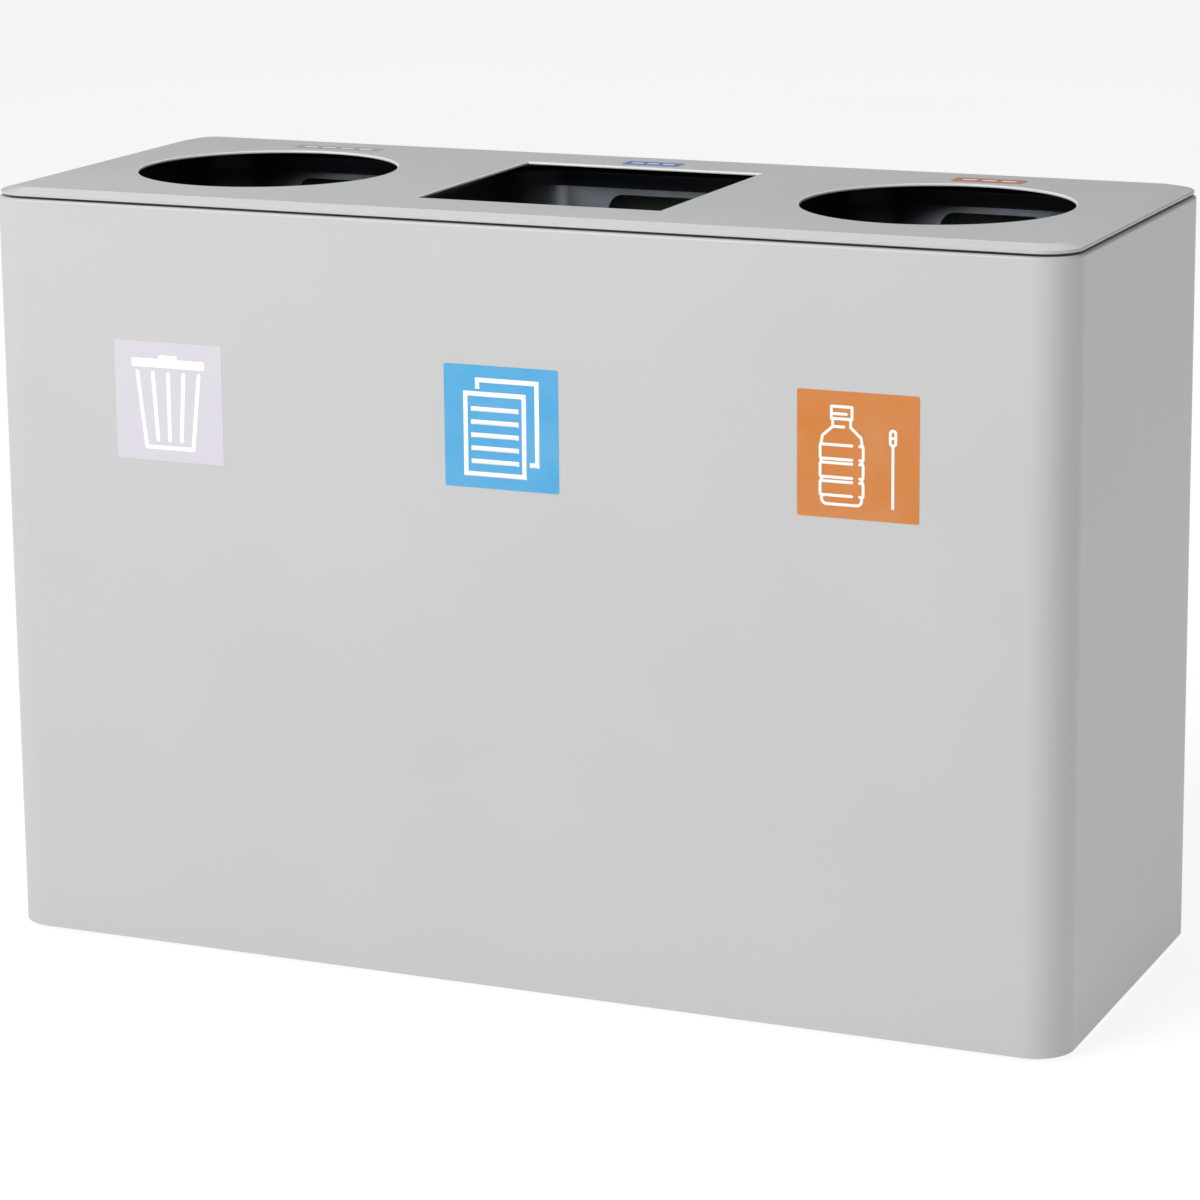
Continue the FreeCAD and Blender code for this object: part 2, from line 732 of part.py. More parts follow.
def make_hinge(name, bay):
    """A three-knuckle butt hinge: the outer knuckles stand on the wall, the middle one on the lid."""
    centre_x = dim["hinge_spacing"] * bay
    low_x = centre_x - dim["hinge_length"] / 2
    high_x = centre_x + dim["hinge_length"] / 2
    inner_low = centre_x - dim["knuckle_length"] / 2
    inner_high = centre_x + dim["knuckle_length"] / 2
    gap = dim["knuckle_gap"]
    leaf = dim["hinge_leaf"]
    leaf_y = inner_y - leaf
    shoulder_z = hinge_z - dim["knuckle_radius"] - gap
    spans = [(low_x, inner_low - gap), (inner_high + gap, high_x)]
    pieces = [plate(f"{name}_wall_leaf", (low_x, leaf_y, hinge_z - dim["hinge_leaf_drop"]),
                    (high_x, inner_y, shoulder_z))]
    for number, (start, stop) in enumerate(spans, start=1):
        pieces.append(plate(f"{name}_wall_tab_{number}", (start, leaf_y, shoulder_z - overcut),
                            (stop, inner_y, hinge_z)))
        pieces.append(make_knuckle(f"{name}_wall_knuckle_{number}", start, stop))
    bores = [cylinder(f"{name}_wall_bore", knuckle_bore, dim["hinge_length"] + overcut * 2,
                      (low_x - overcut, hinge_y, hinge_z), "x")]
    for place in (-1, 0, 1):
        bores.append(cylinder(f"{name}_rivet_hole_{place + 2}", fixing_bore,
                              leaf + overcut * 2,
                              (centre_x + dim["rivet_spacing"] * place, leaf_y - overcut,
                               rivet_z), "y"))
    cut(f"hinge_wall_leaf_{name}", fuse(f"{name}_wall_stock", pieces),
        fuse(f"{name}_wall_bores", bores))

    leaf_bottom = lid_bottom - leaf
    lid_pieces = [
        plate(f"{name}_lid_leaf",
              (low_x, frame_half_y - dim["hinge_leaf_reach"], leaf_bottom),
              (high_x, hinge_y - dim["knuckle_radius"] - gap, lid_bottom)),
        plate(f"{name}_lid_tab", (inner_low, hinge_y - dim["knuckle_radius"] - gap - overcut,
                                  leaf_bottom), (inner_high, hinge_y, lid_bottom)),
        make_knuckle(f"{name}_lid_knuckle", inner_low, inner_high)]
    lid_bores = [cylinder(f"{name}_lid_bore", knuckle_bore, dim["hinge_length"] + overcut * 2,
                          (low_x - overcut, hinge_y, hinge_z), "x")]
    for place in (-1, 0, 1):
        lid_bores.append(cylinder(f"{name}_screw_hole_{place + 2}", fixing_bore,
                                  leaf + overcut * 2,
                                  (centre_x + dim["rivet_spacing"] * place, screw_y,
                                   leaf_bottom - overcut), "z"))
    cut(f"hinge_lid_leaf_{name}", fuse(f"{name}_lid_stock", lid_pieces),
        fuse(f"{name}_lid_bores", lid_bores))
    overhang = dim["hinge_pin_overhang"]
    pin = cylinder(f"hinge_pin_{name}", dim["hinge_pin_radius"],
                   dim["hinge_length"] + overhang * 2, (low_x - overhang, hinge_y, hinge_z), "x")
    pin.Label = f"hinge_pin_{name}"


def make_hinges():
    for name, bay in BAYS.items():
        make_hinge(name, bay)


def make_hinge_fixings():
    """Rivets through the rear wall and screws up into the lid frame."""
    rivets, screws = [], []
    leaf_y = inner_y - dim["hinge_leaf"]
    grip = dim["wall"] + dim["hinge_leaf"]
    leaf_bottom = lid_bottom - dim["hinge_leaf"]
    for number, centre_x in enumerate(fixing_places(), start=1):
        rivets += [
            cylinder(f"rivet_shank_{number}", dim["rivet_radius"], grip,
                     (centre_x, leaf_y, rivet_z), "y"),
            cylinder(f"rivet_tail_{number}", dim["rivet_head_radius"], dim["rivet_head"],
                     (centre_x, leaf_y - dim["rivet_head"], rivet_z), "y"),
            cylinder(f"rivet_head_{number}", dim["rivet_head_radius"], dim["rivet_head"],
                     (centre_x, half_depth, rivet_z), "y")]
        screws += [
            cylinder(f"screw_head_{number}", dim["screw_head_radius"], dim["screw_head"],
                     (centre_x, screw_y, leaf_bottom - dim["screw_head"]), "z"),
            cylinder(f"screw_shank_{number}", dim["rivet_radius"],
                     dim["hinge_leaf"] + dim["screw_grip"],
                     (centre_x, screw_y, leaf_bottom), "z")]
    fuse("hinge_rivets", rivets)
    fuse("hinge_screws", screws)


# ---------------------------------------------------------------- lid stays
def sector(name, radius, angle, start_x, turned):
    """A slice of a disc about the hinge axis, from the front downward, turned further down."""
    item = cylinder(name, radius, dim["stay_plate"], (start_x, hinge_y, hinge_z), "x")
    item.setExpression("Angle", angle.text)
    upright = FreeCAD.Rotation(FreeCAD.Vector(0, 1, 0), 90)
    swing = FreeCAD.Rotation(FreeCAD.Vector(1, 0, 0), turned - 90)
    item.Placement = FreeCAD.Placement(item.Placement.Base, swing.multiply(upright))
    return item


def make_stay(name, side):
    """A slotted arc about the hinge axis, carried by the lid, which slides on a fixed pin."""
    start_x = frame_half_x if side > 0 else -frame_half_x - dim["stay_plate"]
    reach = dim["stay_pin_angle"] + dim["lid_opening_angle"]
    arc = cut(f"{name}_stay_band",
              sector(f"{name}_stay_outer", stay_outer, reach + dim["stay_end_angle"], start_x,
                     0),
              cylinder(f"{name}_stay_inner", stay_inner, dim["stay_plate"],
                       (start_x, hinge_y, hinge_z), "x"))
    ear = plate(f"{name}_stay_ear", (start_x, hinge_y - stay_outer, hinge_z - overcut),
                (start_x + dim["stay_plate"], hinge_y - stay_inner, lid_underside))
    slot = cut(f"{name}_slot_band",
               sector(f"{name}_slot_outer", dim["stay_radius"] + stay_slot_radius,
                      dim["lid_opening_angle"], start_x, dim["stay_pin_angle"].value),
               cylinder(f"{name}_slot_inner", dim["stay_radius"] - stay_slot_radius,
                        dim["stay_plate"], (start_x, hinge_y, hinge_z), "x"))
    ends = []
    for number, angle in enumerate((dim["stay_pin_angle"], reach), start=1):
        ends.append(cylinder(f"{name}_slot_end_{number}", stay_slot_radius, dim["stay_plate"],
                             (start_x, hinge_y - dim["stay_radius"] * cosine(angle),
                              hinge_z - dim["stay_radius"] * sine(angle)), "x"))
    cut(f"stay_arc_{name}", fuse(f"{name}_stay_stock", [arc, ear]),
        fuse(f"{name}_stay_slot", [slot] + ends))


def make_stay_bracket(name, side):
    body = new_body(f"stay_bracket_{name}")
    channel = sketch_on(body, "XY_Plane", (ZERO, ZERO, stay_pin_z - dim["bracket_height"] / 2))
    thick = dim["bracket_plate"]
    front_y = stay_pin_y - dim["bracket_half_width"]
    rear_y = stay_pin_y + dim["bracket_half_width"]
    near_x = bracket_x * side
    far_x = inner_x * side
    draw_outline(channel, [
        (near_x, front_y), (near_x, rear_y), (far_x, rear_y), (far_x, front_y),
        (far_x - thick * side, front_y), (far_x - thick * side, rear_y - thick),
        (near_x + thick * side, rear_y - thick), (near_x + thick * side, front_y)])
    pad(body, channel, dim["bracket_height"])
    hole_x = (bracket_x - overcut) if side > 0 else (-bracket_x - thick - overcut)
    hole = sketch_on(body, "YZ_Plane", (ZERO, ZERO, hole_x))
    draw_circle(hole, (stay_pin_y, stay_pin_z), dim["stay_pin_radius"] + dim["fixing_fit"])
    pocket(body, hole, thick + overcut * 2)


def make_stay_pin(name, side):
    """A shouldered pin: head, shoulder in the slot, collar, shank in the bracket, nut."""
    body = new_body(f"stay_pin_{name}")
    sketch = sketch_on(body, "XZ_Plane", (ZERO, stay_pin_z, -stay_pin_y))
    radius = dim["stay_pin_radius"]
    shoulder_x = frame_half_x - dim["stay_side_gap"]
    head_x = shoulder_x - dim["stay_pin_head"]
    collar_x = bracket_x - dim["stay_collar"]
    nut_x = bracket_x + dim["bracket_plate"]
    steps = [(head_x, dim["stay_pin_head_radius"], shoulder_x),
             (shoulder_x, radius, collar_x),
             (collar_x, radius * 2, bracket_x),
             (bracket_x, radius, nut_x),
             (nut_x, dim["stay_pin_head_radius"], nut_x + dim["stay_nut"])]
    profile = [(head_x * side, 0)]
    for start, step_radius, stop in steps:
        profile += [(start * side, step_radius), (stop * side, step_radius)]
    profile.append(((nut_x + dim["stay_nut"]) * side, 0))
    draw_outline(sketch, profile)
    revolve(body, sketch, "H_Axis")


def make_stays():
    for name, side in SIDES.items():
        make_stay(name, side)
        make_stay_bracket(name, side)
        make_stay_pin(name, side)


def make_buffers():
    """Rubber buffers on the front flange, on which the lid frame lands."""
    height = dim["lid_gap"] - dim["buffer_gap"]
    row_y = -frame_half_y + dim["buffer_radius"]
    for number, place in enumerate((-1.5, -0.5, 0.5, 1.5), start=1):
        buffer = cylinder(f"lid_buffer_{number}", dim["buffer_radius"], height,
                          (dim["buffer_pitch"] * place, row_y, housing_top), "z")
        buffer.Label = f"lid_buffer_{number}"


# ---------------------------------------------------------------- stickers and labels
def make_stickers():
    half = dim["sticker_size"] / 2
    names = {"sticker_residual": -1, "sticker_paper": 0, "sticker_plastic": 1}
    for label, bay in names.items():
        body = new_body(label)
        centre_x = bin_pitch * bay
        sketch = sketch_on(body, "XZ_Plane", (centre_x, dim["sticker_height"], half_depth))
        draw_box(sketch, -half, half, -half, half, dim["sticker_corner"])
        pad(body, sketch, dim["film"])


def make_lid_labels():
    for name, bay in BAYS.items():
        body = new_body(f"lid_label_{name}")
        half_x = dim[f"{name}_label_width"] / 2
        half_y = dim[f"{name}_label_depth"] / 2
        sketch = sketch_on(body, "XY_Plane", (bin_pitch * bay, label_y, dim["lid_top"]))
        draw_box(sketch, -half_x, half_x, -half_y, half_y, dim["sticker_corner"])
        pad(body, sketch, dim["film"])


# ---------------------------------------------------------------- build and write
def build():
    make_front_shell()
    make_rear_shell()
    make_seam_strips()
    make_floor_pan()
    make_dividers()
    make_bins()
    make_feet()
    make_lid_panel()
    make_lid_frame()
    make_hinges()
    make_hinge_fixings()
    make_stays()
    make_buffers()
    make_stickers()
    make_lid_labels()
    doc.recompute()


def sub_parts():
    """The finished objects: those that no other shape is made from."""
    bodies = [item for item in doc.Objects if item.TypeId == "PartDesign::Body"]
    solids = [item for item in doc.Objects if item.TypeId.startswith("Part::")
              and not item.InList]
    return bodies + solids


def check_and_write():
    for item in doc.Objects:
        if "Invalid" in item.State or "Error" in item.State:
            raise RuntimeError(f"{item.Label} failed: {item.State}")
    os.makedirs("parts", exist_ok=True)
    finished = sub_parts()
    for item in finished:
        if item.Shape.isNull() or not item.Shape.isValid():
            raise RuntimeError(f"{item.Label} has no valid shape")
    for item in finished:
        item.Shape.exportStep(os.path.join("parts", item.Label + ".step"))
        box = item.Shape.BoundBox
        print(f"{item.Label:24s} solids {len(item.Shape.Solids)} volume {item.Shape.Volume:.0f}"
              f" x {box.XMin:.1f} {box.XMax:.1f} y {box.YMin:.1f} {box.YMax:.1f}"
              f" z {box.ZMin:.1f} {box.ZMax:.1f}")
    print(len(finished), "sub-parts")


build()
check_and_write()
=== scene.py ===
# %% [markdown]
# # A recycling bin station, finished in Blender
#
# The station is a folded sheet-steel housing with a bevelled steel lid, three black moulded bins
# inside, and a coloured sign on the front for each kind of waste. Its construction arrives as a
# fixed frame of separate parts in metres. This lesson gives the parts their finishes, softens the
# edges that a press brake and a powder coat soften, and adds what was printed or riveted on.

# %% Load the frame
import json
import math

import bmesh
import bpy
from mathutils import Matrix, Vector


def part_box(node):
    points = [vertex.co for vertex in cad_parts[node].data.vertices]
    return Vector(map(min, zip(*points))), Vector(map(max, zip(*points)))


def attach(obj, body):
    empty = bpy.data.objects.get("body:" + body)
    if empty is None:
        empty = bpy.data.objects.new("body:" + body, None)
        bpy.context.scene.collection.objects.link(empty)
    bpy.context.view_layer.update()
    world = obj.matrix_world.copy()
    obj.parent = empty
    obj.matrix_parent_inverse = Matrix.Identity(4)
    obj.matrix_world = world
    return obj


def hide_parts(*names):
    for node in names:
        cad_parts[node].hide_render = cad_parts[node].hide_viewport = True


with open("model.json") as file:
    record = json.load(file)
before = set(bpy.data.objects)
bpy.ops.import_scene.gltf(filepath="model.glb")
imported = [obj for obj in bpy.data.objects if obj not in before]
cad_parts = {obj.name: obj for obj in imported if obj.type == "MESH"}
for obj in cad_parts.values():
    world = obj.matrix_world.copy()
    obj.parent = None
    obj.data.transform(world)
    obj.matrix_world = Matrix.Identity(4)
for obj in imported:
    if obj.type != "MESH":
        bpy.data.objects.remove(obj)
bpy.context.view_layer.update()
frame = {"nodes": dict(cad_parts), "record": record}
MM = 0.001


# %% Put a thing in the scene
def add_object(name, data):
    """A new object at the origin that holds the given mesh, curve, lamp or camera."""
    made = bpy.data.objects.new(name, data)
    bpy.context.collection.objects.link(made)
    return made


print("add_object is ready")

# %% [markdown]
# ## Shader maths as plain expressions
#
# A shader graph is easier to read as a sum than as a row of boxes. `Wire` wraps one output socket,
# so that `1 - grain * 0.2` adds the Math nodes for it. `Finish` owns one material and makes every
# other node through one method. Colours are mixed with Mix nodes, because a Math node would turn
# them grey.


# %% A socket that does arithmetic
class Wire:
    """One output socket of a material. Arithmetic on it adds Math nodes."""

    def __init__(self, finish, socket):
        self.finish = finish
        self.socket = socket

    def math(self, operation, first, second):
        made = self.finish.node("ShaderNodeMath", {"operation": operation}, {0: first, 1: second})
        return made.out(0)

    def __add__(self, other):
        return self.math("ADD", self, other)

    def __radd__(self, other):
        return self.math("ADD", other, self)

    def __sub__(self, other):
        return self.math("SUBTRACT", self, other)

    def __rsub__(self, other):
        return self.math("SUBTRACT", other, self)

    def __mul__(self, other):
        return self.math("MULTIPLY", self, other)

    def __rmul__(self, other):
        return self.math("MULTIPLY", other, self)

    def band(self, low, high):
        """0 below low, 1 above high, and a straight ramp between."""
        settings = {"clamp": True}
        made = self.finish.node("ShaderNodeMapRange", settings,
                                {"Value": self, "From Min": low, "From Max": high})
        return made.out("Result")


class Made:
    """A node that was made, so that its outputs can be read as wires."""

    def __init__(self, finish, node):
        self.finish = finish
        self.node = node

    def out(self, name):
        return Wire(self.finish, self.node.outputs[name])


class Finish:
    """One material: its nodes are made by node(), and surface() sets its shader."""

    def __init__(self, name):
        self.material = bpy.data.materials.new(name)
        self.material.use_nodes = True
        self.tree = self.material.node_tree
        self.shader = self.tree.nodes["Principled BSDF"]

    def link(self, value, socket):
        if isinstance(value, Wire):
            self.tree.links.new(value.socket, socket)
        else:
            socket.default_value = value

    def node(self, kind, settings=None, inputs=None):
        node = self.tree.nodes.new(kind)
        for name, value in (settings or {}).items():
            setattr(node, name, value)
        for name, value in (inputs or {}).items():
            self.link(value, node.inputs[name])
        return Made(self, node)

    def place(self, stretch=(1, 1, 1)):
        """The object's own coordinates in metres, stretched along its axes."""
        coordinates = self.node("ShaderNodeTexCoord").out("Object")
        mapping = self.node("ShaderNodeMapping", {}, {"Vector": coordinates, "Scale": stretch})
        return mapping.out("Vector")

    def noise(self, size, detail=2.0, stretch=(1, 1, 1)):
        """Noise from 0 to 1 whose features are about size metres across."""
        made = self.node("ShaderNodeTexNoise", {}, {
            "Vector": self.place(stretch), "Scale": 1 / size, "Detail": detail})
        return made.out("Fac")

    def mix(self, amount, first, second):
        made = self.node("ShaderNodeMix", {"data_type": "RGBA"},
                         {0: amount, 6: first, 7: second})
        return made.out(2)

    def bump(self, height, depth, strength=1.0):
        made = self.node("ShaderNodeBump", {}, {
            "Height": height, "Distance": depth, "Strength": strength})
        return made.out("Normal")

    def surface(self, **inputs):
        for name, value in inputs.items():
            self.link(value, self.shader.inputs[name.replace("_", " ")])
        return self.material


def grey(value):
    return (value, value, value, 1)


def tinted(red, green, blue):
    return (red, green, blue, 1)


# %% [markdown]
# ## Powder-coated steel
#
# Powder is sprayed on dry and baked, so it flows into a satin skin with a fine orange peel, a
# millimetre or two across and a few hundredths deep. An image could show that, but noise needs no
# file and never repeats. The peel goes into the bump, a slow cloudiness goes into the colour and
# the gloss, and a trace of dust gathers at the foot where a mop goes by.

# %% The housing's and lid's paint
PEEL_SIZE, PEEL_DEPTH, PEEL_STRENGTH = 1.6 * MM, 0.02 * MM, 0.4
CLOUD_SIZE = 240 * MM
SPECK_SIZE, SPECK_SHARE, SPECK_GREY = 0.9 * MM, 0.05, 0.42
DUST_HEIGHT, DUST_SHARE = 70 * MM, 0.12
GLOSS_SWING = 0.08


def powder_coat(name, light, dark, roughness):
    finish = Finish(name)
    cloud = finish.noise(CLOUD_SIZE, 3)
    speck = finish.noise(SPECK_SIZE, 1)
    height = finish.node("ShaderNodeSeparateXYZ", {}, {"Vector": finish.place()}).out("Z")
    foot = 1 - height.band(0.0, DUST_HEIGHT)
    clean = finish.mix(cloud.band(0.3, 0.7), dark, light)
    grainy = finish.mix(speck.band(0.35, 0.65) * SPECK_SHARE, clean, grey(SPECK_GREY))
    dirty = finish.mix(foot * DUST_SHARE * cloud, grainy, DUST)
    peel = finish.noise(PEEL_SIZE, 2)
    return finish.surface(
        Base_Color=dirty,
        Roughness=roughness + (cloud - 0.5) * GLOSS_SWING + foot * GLOSS_SWING,
        Normal=finish.bump(peel, PEEL_DEPTH, PEEL_STRENGTH),
    )


DUST = tinted(0.36, 0.34, 0.31)
HOUSING_LIGHT, HOUSING_DARK = tinted(0.552, 0.556, 0.551), tinted(0.534, 0.539, 0.535)
# Painted shade: the lid has the housing's powder coat, but its colours are set a little darker, so
# that the lid's top reads darker than the front.
SHADED_LID_LIGHT, SHADED_LID_DARK = tinted(0.530, 0.538, 0.532), tinted(0.510, 0.518, 0.514)
housing_paint = powder_coat("housing_paint", HOUSING_LIGHT, HOUSING_DARK, 0.40)
lid_paint = powder_coat("lid_paint", SHADED_LID_LIGHT, SHADED_LID_DARK, 0.36)
# Painted highlight: the lid openings' cut walls get this far paler paint, so that they read as a
# bright rim.
rim_painted_highlight = powder_coat("rim_painted_highlight", grey(0.88), grey(0.84), 0.34)
# Painted shade: the bars under the lid are near black, so that the openings look dark below the lid.
painted_shade_under_lid = powder_coat("painted_shade_under_lid", grey(0.035), grey(0.028), 0.5)
print("paints made:", housing_paint.name, lid_paint.name, rim_painted_highlight.name, painted_shade_under_lid.name)

# %% [markdown]
# ## Moulded plastic
#
# The bins are black moulded polyethylene: a soft skin with a fine grain from the tool, and long
# shallow waves where the wall shrank as it cooled. The waves are what break the highlight under the
# rim into soft patches. A flat black would look like a hole, so the skin has a rather strong
# highlight and a bloom that varies the gloss. The highlight's cool blue tint is a painted
# reflection.

# %% The bins' plastic, and the feet's
WAVE_SIZE, GRAIN_SIZE, BLOOM_SIZE = 55 * MM, 0.8 * MM, 30 * MM
GRAIN_SHARE = 0.02
BLOOM_PALER = 1.7
BLOOM_GLOSS = 0.16


def moulded(name, colour, roughness, wave_depth):
    finish = Finish(name)
    wave = finish.noise(WAVE_SIZE, 2)
    grain = finish.noise(GRAIN_SIZE, 3)
    bloom = finish.noise(BLOOM_SIZE, 4)
    relief = wave + grain * GRAIN_SHARE
    return finish.surface(
        Base_Color=finish.mix(bloom.band(0.35, 0.75), colour, grey(colour[0] * BLOOM_PALER)),
        Roughness=roughness + (bloom - 0.5) * BLOOM_GLOSS,
        Specular_IOR_Level=0.75,
        # Painted reflection: the cool blue tint stands in for a bluish room seen in the highlight.
        Specular_Tint=tinted(0.80, 0.88, 1.0),
        Normal=finish.bump(relief, wave_depth, 0.8),
    )


bin_plastic = moulded("bin_plastic", tinted(0.0105, 0.0112, 0.0135), 0.34, 1.0 * MM)
foot_plastic = moulded("foot_plastic", grey(0.018), 0.5, 0.1 * MM)
print("plastics made:", bin_plastic.name, foot_plastic.name)

# %% [markdown]
# ## Zinc-plated steel and rubber
#
# Hinges, pins, brackets and studs are bright zinc over drawn steel. Drawing leaves lines along the
# length, so the noise is stretched along X and feeds the roughness. Rubber is matt and nearly flat.


# %% Zinc and rubber
def zinc(name):
    finish = Finish(name)
    lines = finish.noise(0.5 * MM, 2, (0.05, 1, 1))
    spangle = finish.noise(4 * MM, 2)
    tone = finish.mix(spangle.band(0.35, 0.7), grey(0.55), tinted(0.66, 0.67, 0.69))
    return finish.surface(
        Base_Color=tone,
        Metallic=1.0,
        Roughness=0.26 + lines * 0.2,
        Normal=finish.bump(lines, 0.02 * MM, 0.5),
    )


def rubber(name):
    finish = Finish(name)
    grain = finish.noise(0.6 * MM, 2)
    return finish.surface(
        Base_Color=finish.mix(grain, grey(0.014), grey(0.026)),
        Roughness=0.7 + grain * 0.15,
        Normal=finish.bump(grain, 0.03 * MM, 0.6),
    )


zinc_steel = zinc("zinc_steel")
buffer_rubber = rubber("buffer_rubber")
print("metal and rubber made:", zinc_steel.name, buffer_rubber.name)

# %% [markdown]
# ## Printed film
#
# The signs are calendered vinyl: an even colour with a satin overlaminate. A barely visible ripple
# keeps the reflection from looking like glass. White ink is a little rougher and stands proud.


# %% Sign films and ink
def film(name, colour, roughness=0.38):
    finish = Finish(name)
    ripple = finish.noise(9 * MM, 2)
    cloud = finish.noise(45 * MM, 2)
    paler = tuple(channel + (1 - channel) * 0.05 for channel in colour[:3]) + (1,)
    return finish.surface(
        Base_Color=finish.mix(cloud.band(0.3, 0.7), colour, paler),
        Roughness=roughness + (ripple - 0.5) * 0.05,
        Normal=finish.bump(ripple, 0.02 * MM, 0.5),
    )


FILMS = {
    "film_grey": tinted(0.635, 0.605, 0.675),
    "film_blue": tinted(0.060, 0.365, 0.670),
    "film_orange": tinted(0.600, 0.190, 0.018),
    "label_grey": tinted(0.330, 0.310, 0.390),
    "label_blue": tinted(0.030, 0.120, 0.420),
    "label_orange": tinted(0.480, 0.110, 0.030),
}
films = {name: film(name, colour) for name, colour in FILMS.items()}
white_ink = film("white_ink", grey(0.93), 0.42)
print("films made:", ", ".join(films), "and", white_ink.name)

# %% [markdown]
# ## Finishes on the frame's parts
#
# Each part names its material slot in the record, so one table hands out the finishes. The bars
# under the lid get near-black paint as painted shade, so that nothing pale shows through the
# openings.

# %% Hand out the finishes
FINISHES = {
    "housing_paint": housing_paint,
    "lid_paint": lid_paint,
    "bin_plastic": bin_plastic,
    "zinc_steel": zinc_steel,
    "foot_plastic": foot_plastic,
    "buffer_rubber": buffer_rubber,
    **films,
}
slot_of = {part["node"]: part["material_slot"] for part in frame["record"]["subparts"]}


def dress(part, material):
    part.data.materials.clear()
    part.data.materials.append(material)


for node, part in frame["nodes"].items():
    dress(part, FINISHES[slot_of[node]])
# Painted shade: the bars under the lid get the near-black paint.
dress(frame["nodes"]["lid_frame"], painted_shade_under_lid)
print(len(frame["nodes"]), "parts dressed")

# %% [markdown]
# ## Sheet metal with real edges
#
# Computer models have knife edges, and sheet metal has none: the punch rolls them over and the
# powder rounds them again. A copy of each visible sheet gets its loose triangles merged, its flat
# areas joined, and a narrow bevel along every edge that turns sharply. The bevel is what catches
# the light as a thin bright line. A Bevel modifier with an angle limit could do most of this. A
# test on each edge also lets the lid's fold lines and the bins' blunt bends have their own widths.

# %% Copy a part and round its arrises
MERGE_GAP = 0.002 * MM
FLAT = math.radians(0.4)
BLUNT = math.radians(4)
SHARP = math.radians(35)
LEVEL_SLACK = 0.05 * MM


def tidy_copy(node):
    """The part's mesh as one clean surface, with its flat areas joined."""
    work = bmesh.new()
    work.from_mesh(frame["nodes"][node].data)
    bmesh.ops.remove_doubles(work, verts=work.verts, dist=MERGE_GAP)
    bmesh.ops.dissolve_limit(work, angle_limit=FLAT, verts=work.verts, edges=work.edges)
    return work


def round_over(work, edges, width, segments):
    bmesh.ops.bevel(work, geom=edges, offset=width, offset_type="OFFSET", segments=segments,
                    profile=0.5, affect="EDGES", clamp_overlap=True)


def turns_by(edge, angle):
    """Whether the two faces beside an edge turn by more than the angle."""
    return len(edge.link_faces) == 2 and edge.calc_face_angle(0) > angle


def round_arrises(work, width, segments=2):
    """Rounds every sharp edge of the work."""
    round_over(work, [edge for edge in work.edges if turns_by(edge, SHARP)], width, segments)


def round_bends(work, levels, width):
    """Rounds the blunt level edges at the given heights, such as a moulded shoulder's."""
    blunt = []
    for edge in work.edges:
        heights = [vertex.co.z for vertex in edge.verts]
        at_level = any(max(abs(z - level) for z in heights) < LEVEL_SLACK for level in levels)
        if at_level and turns_by(edge, BLUNT):
            blunt.append(edge)
    round_over(work, blunt, width, 4)
    print(len(blunt), "blunt edges rounded")


def settle(piece):
    """Applies every modifier, so that the piece is a plain mesh."""
    seen = piece.evaluated_get(bpy.context.evaluated_depsgraph_get())
    settled = bpy.data.meshes.new_from_object(seen)
    piece.modifiers.clear()
    piece.data = settled


def finished_mesh(work, name, materials):
    """Turns the work into an object with smooth bends and flat flats."""
    mesh = bpy.data.meshes.new(name)
    work.to_mesh(mesh)
    work.free()
    for material in materials:
        mesh.materials.append(material)
    mesh.shade_smooth()
    piece = add_object(name, mesh)
    weighting = piece.modifiers.new("flat_flats", "WEIGHTED_NORMAL")
    weighting.keep_sharp = True
    settle(piece)
    return piece


def stand_for(piece, node, body):
    """Shows the piece in place of a part, on the part's body."""
    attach(piece, body)
    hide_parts(node)


# %% [markdown]
# The three bins come from one mould, so the middle one is softened and the outer two are its copies,
# moved to their places. The bins turn inward under the lip and again under the shoulder. Both turns
# are too blunt to count as sharp, so they are found by their height and rounded wide, as a moulded
# wall is.


# %% The housing, the bins and what shows when the lid is up
def soften(node, name, body, width, bend=None):
    material = frame["nodes"][node].data.materials[0]
    work = tidy_copy(node)
    if bend:
        round_bends(work, *bend)
    round_arrises(work, width)
    piece = finished_mesh(work, name, [material])
    stand_for(piece, node, body)
    print(name, len(piece.data.polygons), "faces")
    return piece


def middle_of(node):
    low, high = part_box(node)
    return Vector((low.x + high.x, low.y + high.y, low.z + high.z)) / 2


SHEET_ARRIS, BIN_ARRIS, BAR_ARRIS = 0.35 * MM, 0.8 * MM, 0.4 * MM
SMALL_ARRIS, STAY_ARRIS = 0.3 * MM, 0.25 * MM
LIP_BOTTOM, SHOULDER_BOTTOM = 755 * MM, 728 * MM
BEND_WIDTH = 12 * MM
soften("front_shell", "housing_front", "station", SHEET_ARRIS)
soften("rear_shell", "housing_rear", "station", SHEET_ARRIS)
paper_bin = soften("bin_paper", "paper_bin", "station", BIN_ARRIS,
                   bend=((LIP_BOTTOM, SHOULDER_BOTTOM), BEND_WIDTH))
for waste in ("residual", "plastic"):
    twin_mesh = paper_bin.data.copy()
    shift = middle_of(f"bin_{waste}") - middle_of("bin_paper")
    twin_mesh.transform(Matrix.Translation(shift))
    stand_for(add_object(f"{waste}_bin", twin_mesh), f"bin_{waste}", "station")
for side in ("left", "right"):
    soften(f"divider_{side}", f"bin_divider_{side}", "station", SMALL_ARRIS)
    soften(f"stay_arc_{side}", f"lid_stay_{side}", "lid", STAY_ARRIS)
soften("lid_frame", "lid_bars", "lid", BAR_ARRIS)
for place in ("left", "middle", "right"):
    soften(f"hinge_wall_leaf_{place}", f"wall_hinge_{place}", "station", SMALL_ARRIS)
    soften(f"hinge_lid_leaf_{place}", f"lid_hinge_{place}", "lid", SMALL_ARRIS)

